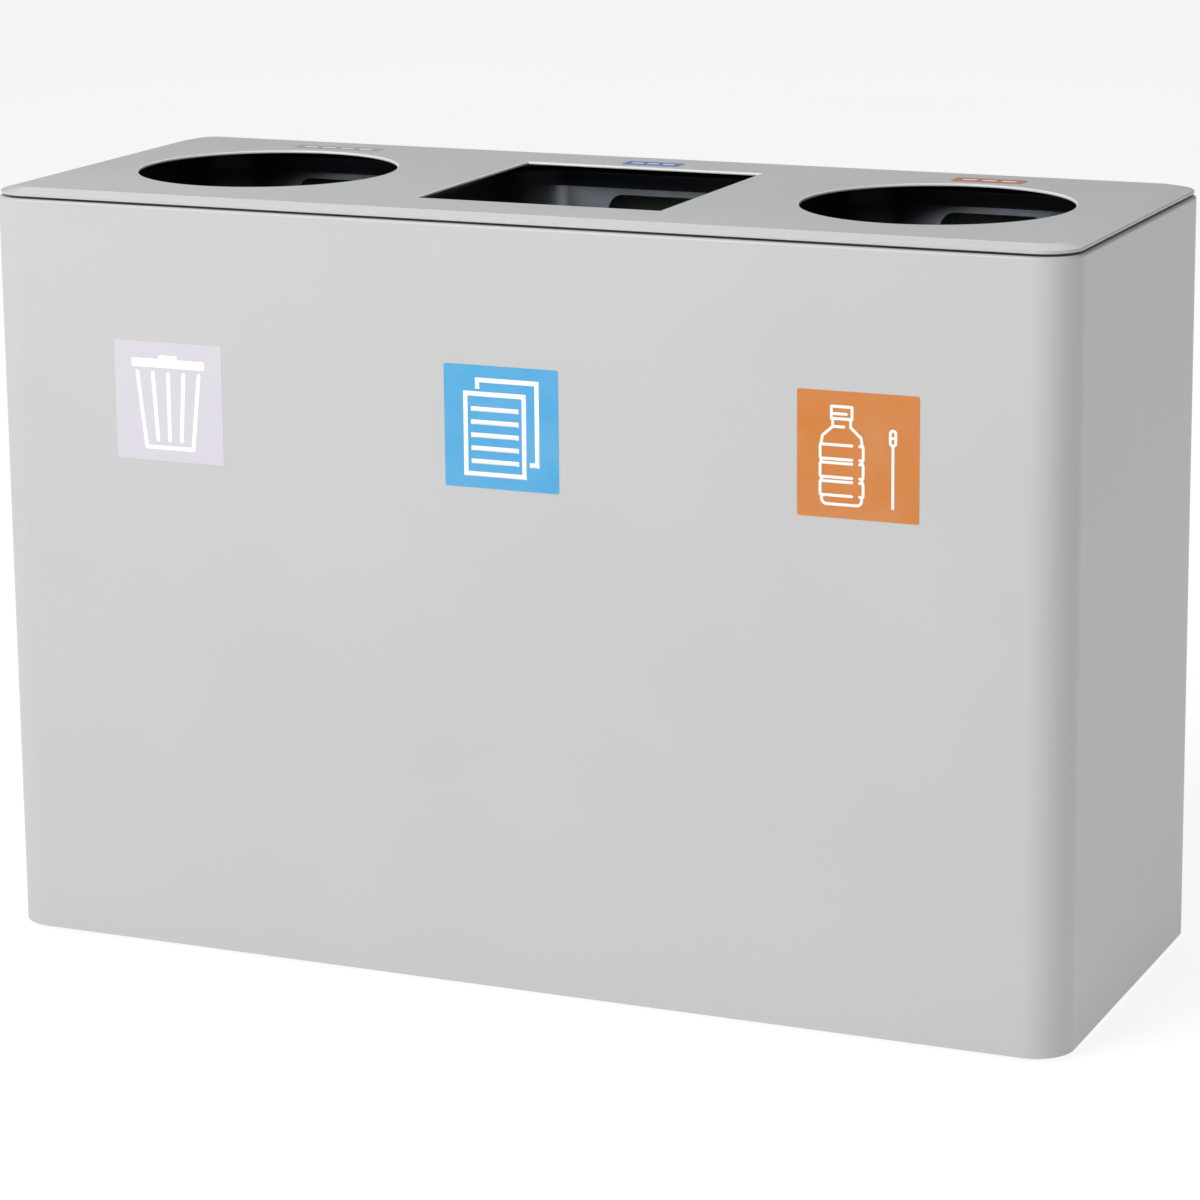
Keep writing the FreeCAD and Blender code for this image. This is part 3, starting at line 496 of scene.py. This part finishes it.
# %% [markdown]
# ## The lid
#
# The lid's openings are cut after bending, so their walls are bare cut edges. Their bright rim is a
# painted highlight: the walls and their arrises get a far paler paint of their own. The lines where
# the flat top turns down into the border are far blunter than an arris. They are rounded by
# themselves, so that the slope keeps its own flat shade instead of melting into the top.

# %% The lid, with a painted highlight on its cut edges
lid_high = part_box("lid_panel")[1]
FOLD_ROUND = 2.5 * MM
LID_ARRIS = 0.9 * MM
RIM_ARRIS = 1.6 * MM
OPENINGS_END = lid_high.x - 40 * MM
OPENINGS_HALF_DEPTH = 140 * MM
TOP_SLACK = 0.1 * MM


def is_fold(edge):
    """The lines where the flat top turns down into the border's slope."""
    if len(edge.link_faces) != 2:
        return False
    lean = sorted(face.normal.z for face in edge.link_faces)
    return lean[1] > 0.999 and 0.9 < lean[0] < 0.995


def gets_painted_highlight(face):
    """Faces of the openings' walls and their rounded arrises, for the painted highlight."""
    centre = face.calc_center_median()
    inside = abs(centre.x) < OPENINGS_END and abs(centre.y) < OPENINGS_HALF_DEPTH
    return inside and abs(face.normal.z) < 0.985


def is_opening_rim(edge):
    """The upper edges of the three openings, between the flat top and a cut wall."""
    if len(edge.link_faces) != 2 or edge.calc_face_angle(0) < SHARP:
        return False
    middle = (edge.verts[0].co + edge.verts[1].co) / 2
    return middle.z > lid_high.z - TOP_SLACK and abs(middle.y) < OPENINGS_HALF_DEPTH


def make_lid():
    work = tidy_copy("lid_panel")
    round_over(work, [edge for edge in work.edges if is_opening_rim(edge)], RIM_ARRIS, 4)
    round_arrises(work, LID_ARRIS, 3)
    work.normal_update()
    folds = [edge for edge in work.edges if is_fold(edge)]
    fold_count = len(folds)
    round_over(work, folds, FOLD_ROUND, 3)
    work.normal_update()
    for face in work.faces:
        # The openings' walls take the second material, the painted highlight.
        face.material_index = int(gets_painted_highlight(face))
    piece = finished_mesh(work, "lid_sheet", [lid_paint, rim_painted_highlight])
    stand_for(piece, "lid_panel", "lid")
    print("lid", len(piece.data.polygons), "faces,", fold_count, "fold lines")


make_lid()

# %% [markdown]
# ## The signs
#
# Each sign is a square of film with a drawing in white ink: a waste bin, two sheets of paper, a
# bottle with a stirrer. A drawing is a set of pen strokes, so it is drawn as curves and handed to
# one Geometry Nodes tree, which lays a flat ribbon along each stroke and a pen tip on each point.
# A round tip gives round ends and joints, and a square tip gives mitred ones. The strokes cross, so
# a Mesh Boolean node melts them into one skin of ink.

# %% A pen made of Geometry Nodes
INK_DEPTH = 0.12 * MM
ROUND_TIP, SQUARE_TIP = 16, 4


def tree_link(tree, value, socket):
    if isinstance(value, bpy.types.NodeSocket):
        tree.links.new(value, socket)
    else:
        socket.default_value = value


def tree_node(tree, kind, settings=None, inputs=None):
    node = tree.nodes.new(kind)
    for name, value in (settings or {}).items():
        setattr(node, name, value)
    for name, value in (inputs or {}).items():
        tree_link(tree, value, node.inputs[name])
    return node


def new_tree(name, inputs):
    """An empty geometry tree with named number inputs."""
    tree = bpy.data.node_groups.new(name, "GeometryNodeTree")
    tree.interface.new_socket("Geometry", in_out="INPUT", socket_type="NodeSocketGeometry")
    tree.interface.new_socket("Geometry", in_out="OUTPUT", socket_type="NodeSocketGeometry")
    for label, default in inputs.items():
        socket = tree.interface.new_socket(label, in_out="INPUT", socket_type="NodeSocketFloat")
        socket.default_value = default
    return tree, tree.nodes.new("NodeGroupInput"), tree.nodes.new("NodeGroupOutput")


def close_tree(tree, geometry, leave, material):
    real = tree_node(tree, "GeometryNodeRealizeInstances", {}, {"Geometry": geometry})
    coat = tree_node(tree, "GeometryNodeSetMaterial", {}, {
        "Geometry": real.outputs[0], "Material": material})
    tree.links.new(coat.outputs[0], leave.inputs[0])


def make_pen(name, tip_sides):
    """A tree that turns flat curves in the XZ plane into ink of even width."""
    tree, enter, leave = new_tree(name, {"Line Width": 4 * MM, "Ink Depth": INK_DEPTH})
    width, depth = enter.outputs["Line Width"], enter.outputs["Ink Depth"]
    section = tree_node(tree, "GeometryNodeCurvePrimitiveQuadrilateral", {},
                        {"Width": depth, "Height": width})
    upright = tree_node(tree, "GeometryNodeSetCurveNormal", {"mode": "FREE"}, {
        "Curve": enter.outputs[0], "Normal": (0.0, 1.0, 0.0)})
    ribbon = tree_node(tree, "GeometryNodeCurveToMesh", {}, {
        "Curve": upright.outputs[0], "Profile Curve": section.outputs[0], "Fill Caps": True})
    half = tree_node(tree, "ShaderNodeMath", {"operation": "MULTIPLY"}, {0: width, 1: 0.5})
    radius = half.outputs[0]
    if tip_sides == SQUARE_TIP:
        corner = tree_node(tree, "ShaderNodeMath", {"operation": "MULTIPLY"},
                           {0: radius, 1: math.sqrt(2)})
        radius = corner.outputs[0]
    tip = tree_node(tree, "GeometryNodeMeshCylinder", {}, {
        "Vertices": tip_sides, "Radius": radius, "Depth": depth})
    points = tree_node(tree, "GeometryNodeCurveToPoints", {"mode": "EVALUATED"},
                       {"Curve": enter.outputs[0]})
    turn = (math.pi / 2, math.pi / 4 if tip_sides == SQUARE_TIP else 0.0, 0.0)
    tips = tree_node(tree, "GeometryNodeInstanceOnPoints", {}, {
        "Points": points.outputs[0], "Instance": tip.outputs[0], "Rotation": turn})
    joined = tree_node(tree, "GeometryNodeJoinGeometry")
    tree.links.new(tips.outputs[0], joined.inputs[0])
    tree.links.new(ribbon.outputs[0], joined.inputs[0])
    loose = tree_node(tree, "GeometryNodeRealizeInstances", {}, {"Geometry": joined.outputs[0]})
    melted = tree_node(tree, "GeometryNodeMeshBoolean", {"operation": "UNION", "solver": "EXACT"}, {
        "Mesh 2": loose.outputs[0], "Self Intersection": True})
    close_tree(tree, melted.outputs[0], leave, white_ink)
    return tree


round_pen = make_pen("round_pen", ROUND_TIP)
square_pen = make_pen("square_pen", SQUARE_TIP)
print("pens made:", round_pen.name, square_pen.name)


# %% Draw with a pen
def set_input(modifier, label, value):
    """Sets a modifier's input by its socket's identifier."""
    for item in modifier.node_group.interface.items_tree:
        if item.item_type == "SOCKET" and item.in_out == "INPUT" and item.name == label:
            modifier[item.identifier] = value


def draw_strokes(name, strokes, centre, pen, line_width):
    """Strokes are lists of points in millimetres from the sign's centre, right and up. Each
    straight bit is a curve of its own, so that the ribbon keeps its width round a corner."""
    curve = bpy.data.curves.new(name, "CURVE")
    curve.dimensions = "3D"
    for points in strokes:
        for ends in zip(points, points[1:]):
            spline = curve.splines.new("POLY")
            spline.points.add(1)
            for point, (across, up) in zip(spline.points, ends):
                point.co = (centre.x + across * MM, centre.y, centre.z + up * MM, 1)
    drawing = add_object(name, curve)
    modifier = drawing.modifiers.new("pen", "NODES")
    modifier.node_group = pen
    set_input(modifier, "Line Width", line_width * MM)
    return drawing


def sign_centre(node):
    low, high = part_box(node)
    return Vector(((low.x + high.x) / 2, low.y - INK_DEPTH / 2, (low.z + high.z) / 2))


def ink_piece(name, strokes, sign, pen, line_width):
    """Draws the strokes on a sign's film and leaves one plain mesh of ink."""
    drawing = draw_strokes(name + "_strokes", strokes, sign_centre(sign), pen, line_width)
    seen = drawing.evaluated_get(bpy.context.evaluated_depsgraph_get())
    mesh = bpy.data.meshes.new_from_object(seen)
    bpy.data.objects.remove(drawing)
    mesh.name = name
    piece = add_object(name, mesh)
    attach(piece, "station")
    print(name, len(mesh.polygons), "faces")


print("strokes are", INK_DEPTH / MM, "mm thick")


# %% Small helpers for outlines
def arc(centre, radius, start, stop, steps=6):
    """Points on an arc, with angles in degrees."""
    across, up = centre
    turn = [math.radians(start + (stop - start) * step / steps) for step in range(steps + 1)]
    return [(across + radius * math.cos(a), up + radius * math.sin(a)) for a in turn]


def level(up, left, right):
    return [(left, up), (right, up)]


print("an arc of", len(arc((0, 0), 1, 0, 90)), "points")

# %% [markdown]
# The waste bin's thick lid is three strokes laid close together, with a short handle on top. The
# tub is one bent stroke, and three bars fan out down its front.


# %% The waste bin
def draw_waste_sign():
    strokes = [level(up, -39.5, 39.5) for up in (41.5, 39.2, 36.9)]
    strokes.append(level(45.6, -8.5, 8.5))
    strokes.append([(-35.0, 29.5), (-26.5, -47.0), (26.5, -47.0), (35.0, 29.5)])
    strokes += [[(17.5 * side, 29.0), (13.4 * side, -39.0)] for side in (-1, 0, 1)]
    ink_piece("sign_waste_ink", strokes, "sticker_residual", round_pen, 4.4)


draw_waste_sign()


# %% [markdown]
# Two sheets lie one behind the other. Only the rear one's corner shows, so it is an open line. The
# square pen keeps their corners crisp, and five lines stand for print.


# %% The sheets of paper
def draw_paper_sign():
    left, right, bottom, top = -38.0, 24.4, -47.0, 32.6
    front = [(left, bottom), (right, bottom), (right, top), (left, top), (left, bottom)]
    rear = [(-25.0, 40.0), (-25.0, 46.4), (38.2, 46.4), (38.2, -34.5), (32.5, -34.5)]
    lines = [level(17.6 - 13.0 * row, -29.8, 16.4) for row in range(5)]
    ink_piece("sign_paper_ink", [front, rear, *lines], "sticker_paper", square_pen, 4.7)


draw_paper_sign()


# %% [markdown]
# The bottle is a lathe shape seen from the side: one half is a list of points, and the other half
# is the same list turned over. Ribs cross it in pairs, each with a break for a highlight. The
# stirrer is a stick with a long loop at its end.

# %% The bottle and stirrer
BOTTLE_MIDDLE = -16.2
BOTTLE_HALF = 20.4
NECK_HALF, CAP_HALF = 8.9, 10.3
RIBS = (9.4, -4.2, -8.0, -21.8, -25.8, -39.2)


def bottle_side(side):
    """From the neck down one side, stepping out between the pairs of ribs, to the base."""
    def at(half, up):
        return (BOTTLE_MIDDLE + half * side, up)

    wall = [at(NECK_HALF, 34.0), at(NECK_HALF, 27.0), at(BOTTLE_HALF - 1, 17.5)]
    for upper, lower in (RIBS[0:2], RIBS[2:4], RIBS[4:6]):
        wall += [at(BOTTLE_HALF, upper + 1.2), at(BOTTLE_HALF + 1.1, upper - 1)]
        wall += [at(BOTTLE_HALF + 1.1, lower + 1), at(BOTTLE_HALF - 0.4, lower - 1.2)]
    foot = arc((BOTTLE_HALF - 5.5, -42.5), 5.2, 0, -90)
    wall += [at(across, up) for across, up in foot]
    return wall + [at(0, foot[-1][1])]


def draw_bottle_sign():
    left, right = BOTTLE_MIDDLE - BOTTLE_HALF, BOTTLE_MIDDLE + BOTTLE_HALF
    cap_left, cap_right = BOTTLE_MIDDLE - CAP_HALF, BOTTLE_MIDDLE + CAP_HALF
    strokes = [bottle_side(-1), bottle_side(1)]
    strokes += [level(46.2, cap_left, cap_right), level(34.6, cap_left, cap_right)]
    strokes += [[(across, 46.2), (across, 34.6)] for across in (cap_left, cap_right)]
    strokes += [level(39.3, cap_left, -11.5), level(27.0, BOTTLE_MIDDLE - NECK_HALF, -14.0)]
    for rib in RIBS:
        strokes += [level(rib, left, -6.0), level(rib, 1.9, right)]
    stirrer, eye = 34.8, 2.7
    strokes.append([(stirrer, 10.5), (stirrer, -47.5)])
    loop = arc((stirrer, 24.0), eye, 0, 180) + arc((stirrer, 15.0), eye, 180, 360)
    strokes += [loop + loop[:1], level(19.5, stirrer - eye, stirrer + eye)]
    ink_piece("sign_bottle_ink", strokes, "sticker_plastic", round_pen, 2.8)


draw_bottle_sign()

# %% [markdown]
# ## Marks on the lid
#
# A small strip of film lies on the lid behind each opening. Plain white dashes stand on it in one
# row. They could be modelled one by one, but a line of points with a small block on each is one
# Geometry Nodes tree for any number.

# %% Dashes on the lid's strips
DASH_SHARE, DASH_TALL = 0.72, 5 * MM
ROW_MARGIN = 0.6


def row(tree, count, pitch):
    """A line of points along X, centred on zero."""
    start = tree_node(tree, "ShaderNodeCombineXYZ", {}, {"X": -pitch * (count - 1) / 2})
    return tree_node(tree, "GeometryNodeMeshLine", {"mode": "OFFSET"}, {
        "Count": count, "Start Location": start.outputs[0], "Offset": (pitch, 0.0, 0.0)})


def grown(name, tree, body):
    """Runs a tree on an empty host and leaves its result as a plain mesh."""
    host = add_object(name, bpy.data.meshes.new(name))
    modifier = host.modifiers.new("grow", "NODES")
    modifier.node_group = tree
    settle(host)
    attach(host, body)
    print(name, len(host.data.polygons), "faces")
    return host


def make_dashes(side, count):
    node = f"lid_label_{side}"
    low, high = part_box(node)
    pitch = (high.x - low.x) / (count + ROW_MARGIN)
    tree, enter, leave = new_tree(f"dashes_{side}", {
        "Dash": pitch * DASH_SHARE, "Tall": DASH_TALL})
    size = tree_node(tree, "ShaderNodeCombineXYZ", {}, {
        "X": enter.outputs["Dash"], "Y": enter.outputs["Tall"], "Z": INK_DEPTH})
    dash = tree_node(tree, "GeometryNodeMeshCube", {}, {"Size": size.outputs[0]})
    dashes = tree_node(tree, "GeometryNodeInstanceOnPoints", {}, {
        "Points": row(tree, count, pitch).outputs[0], "Instance": dash.outputs[0]})
    place = ((low.x + high.x) / 2, (low.y + high.y) / 2, high.z)
    seat = tree_node(tree, "GeometryNodeTransform", {}, {
        "Geometry": dashes.outputs[0], "Translation": place})
    close_tree(tree, seat.outputs[0], leave, white_ink)
    grown(f"lid_dashes_{side}", tree, "lid")


make_dashes("left", 4)
make_dashes("middle", 3)
make_dashes("right", 3)

# %% [markdown]
# ## Rivets on the back
#
# Three rivets hold each of the three hinges to the rear wall. A dome is a flattened ball, and the
# pattern is a short row repeated along a long row, so the tree nests one mesh line in another.

# %% Domed rivet heads
rivet_low, rivet_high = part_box("hinge_rivets")
HINGE_PITCH = middle_of("hinge_wall_leaf_right").x
RIVET_RADIUS = (rivet_high.z - rivet_low.z) / 2
RIVET_PITCH = rivet_high.x - RIVET_RADIUS - HINGE_PITCH
RIVET_DOME, RIVET_SINK = 1.0 * MM, 0.8 * MM


def make_rivets():
    tree, enter, leave = new_tree("rivet_rows", {"Radius": RIVET_RADIUS, "Dome": RIVET_DOME})
    ball = tree_node(tree, "GeometryNodeMeshUVSphere", {}, {
        "Segments": 24, "Rings": 12, "Radius": enter.outputs["Radius"]})
    squash = tree_node(tree, "ShaderNodeMath", {"operation": "DIVIDE"}, {
        0: enter.outputs["Dome"], 1: enter.outputs["Radius"]})
    scale = tree_node(tree, "ShaderNodeCombineXYZ", {}, {
        "X": 1.0, "Y": squash.outputs[0], "Z": 1.0})
    dome = tree_node(tree, "GeometryNodeTransform", {}, {
        "Geometry": ball.outputs[0], "Scale": scale.outputs[0]})
    short = tree_node(tree, "GeometryNodeInstanceOnPoints", {}, {
        "Points": row(tree, 3, RIVET_PITCH).outputs[0], "Instance": dome.outputs[0]})
    long_row = tree_node(tree, "GeometryNodeInstanceOnPoints", {}, {
        "Points": row(tree, 3, HINGE_PITCH).outputs[0], "Instance": short.outputs[0]})
    seat = tree_node(tree, "GeometryNodeTransform", {}, {
        "Geometry": long_row.outputs[0],
        "Translation": (0.0, rivet_high.y - RIVET_SINK, (rivet_low.z + rivet_high.z) / 2)})
    close_tree(tree, seat.outputs[0], leave, zinc_steel)
    domes = grown("rivet_domes", tree, "station")
    domes.data.shade_smooth()


make_rivets()

# %% [markdown]
# ## Floor, light and camera
#
# The stage is a pale floor in an even room, as for a catalogue. The floor glows a little, like a
# light table, so that it stays white and shadows on it stay faint. The Standard view keeps plain
# paint colours as they are, where a filmic one would wash them out.
#
# A broad soft light from the front left lifts the long face and leaves the right side darker. A
# long light high behind draws the slope along the lid's front edge, and a small one above the front
# reaches into the bins.

# %% A pale floor
FLOOR_HALF = 40
FLOOR_DARK, FLOOR_LIGHT = 0.24, 0.28
FLOOR_GLOW = 0.82


def make_floor():
    finish = Finish("floor_paint")
    cloud = finish.noise(0.8, 2)
    material = finish.surface(
        Base_Color=finish.mix(cloud, grey(FLOOR_DARK), grey(FLOOR_LIGHT)),
        Roughness=0.9,
        Emission_Color=grey(1.0),
        Emission_Strength=FLOOR_GLOW,
    )
    work = bmesh.new()
    bmesh.ops.create_grid(work, x_segments=1, y_segments=1, size=FLOOR_HALF)
    mesh = bpy.data.meshes.new("floor")
    work.to_mesh(mesh)
    work.free()
    mesh.materials.append(material)
    add_object("floor", mesh)
    print("floor", 2 * FLOOR_HALF, "m across")


make_floor()

# %% Studio light
ROOM_LIGHT = 0.26
# name, place, aim, size, all in metres, and power in watts
LIGHTS = (
    ("front_light", (-1.7, -3.9, 4.3), (0, 0, 0.4), (3.6, 2.8), 196),
    ("back_light", (-1.5, 3.5, 3.35), (0, -0.2, 0.78), (4.8, 0.9), 45),
    ("top_light", (-0.9, -1.9, 3.2), (0, 0, 0.7), (1.8, 0.8), 22),
)


def soft_light(name, place, aim, size, power):
    lamp = bpy.data.lights.new(name, "AREA")
    lamp.shape = "RECTANGLE"
    lamp.size, lamp.size_y = size
    lamp.energy = power
    holder = add_object(name, lamp)
    holder.location = place
    holder.rotation_euler = (Vector(aim) - Vector(place)).to_track_quat("-Z", "Y").to_euler()


world = bpy.data.worlds.new("studio")
bpy.context.scene.world = world
world.use_nodes = True
backdrop = world.node_tree.nodes["Background"]
backdrop.inputs["Color"].default_value = (1, 1, 1, 1)
backdrop.inputs["Strength"].default_value = ROOM_LIGHT
bpy.context.scene.view_settings.view_transform = "Standard"
for light in LIGHTS:
    soft_light(*light)
print(len(LIGHTS), "lights")

# %% [markdown]
# The camera stands at eye height on a tripod, to the right of the middle and looking down a
# little, through a long lens. The small shift lets it look down less steeply, which keeps the
# housing's upright edges nearly parallel.

# %% Camera
YAW, PITCH, ROLL = math.radians(23.53), math.radians(12.31), math.radians(-0.57)
TRIPOD = (1.666, -3.812, 1.388)
LENS, SENSOR, SHIFT_UP = 124.6, 36, -0.1
camera_data = bpy.data.cameras.new("camera")
camera_data.lens = LENS
camera_data.sensor_width = SENSOR
camera_data.shift_y = SHIFT_UP
camera = add_object("camera", camera_data)
look_down = Matrix.Rotation(math.pi / 2 - PITCH, 4, "X") @ Matrix.Rotation(ROLL, 4, "Z")
camera.matrix_world = Matrix.Translation(TRIPOD) @ Matrix.Rotation(YAW, 4, "Z") @ look_down
bpy.context.scene.camera = camera
print("camera at", TRIPOD, "with a lens of", LENS, "mm")
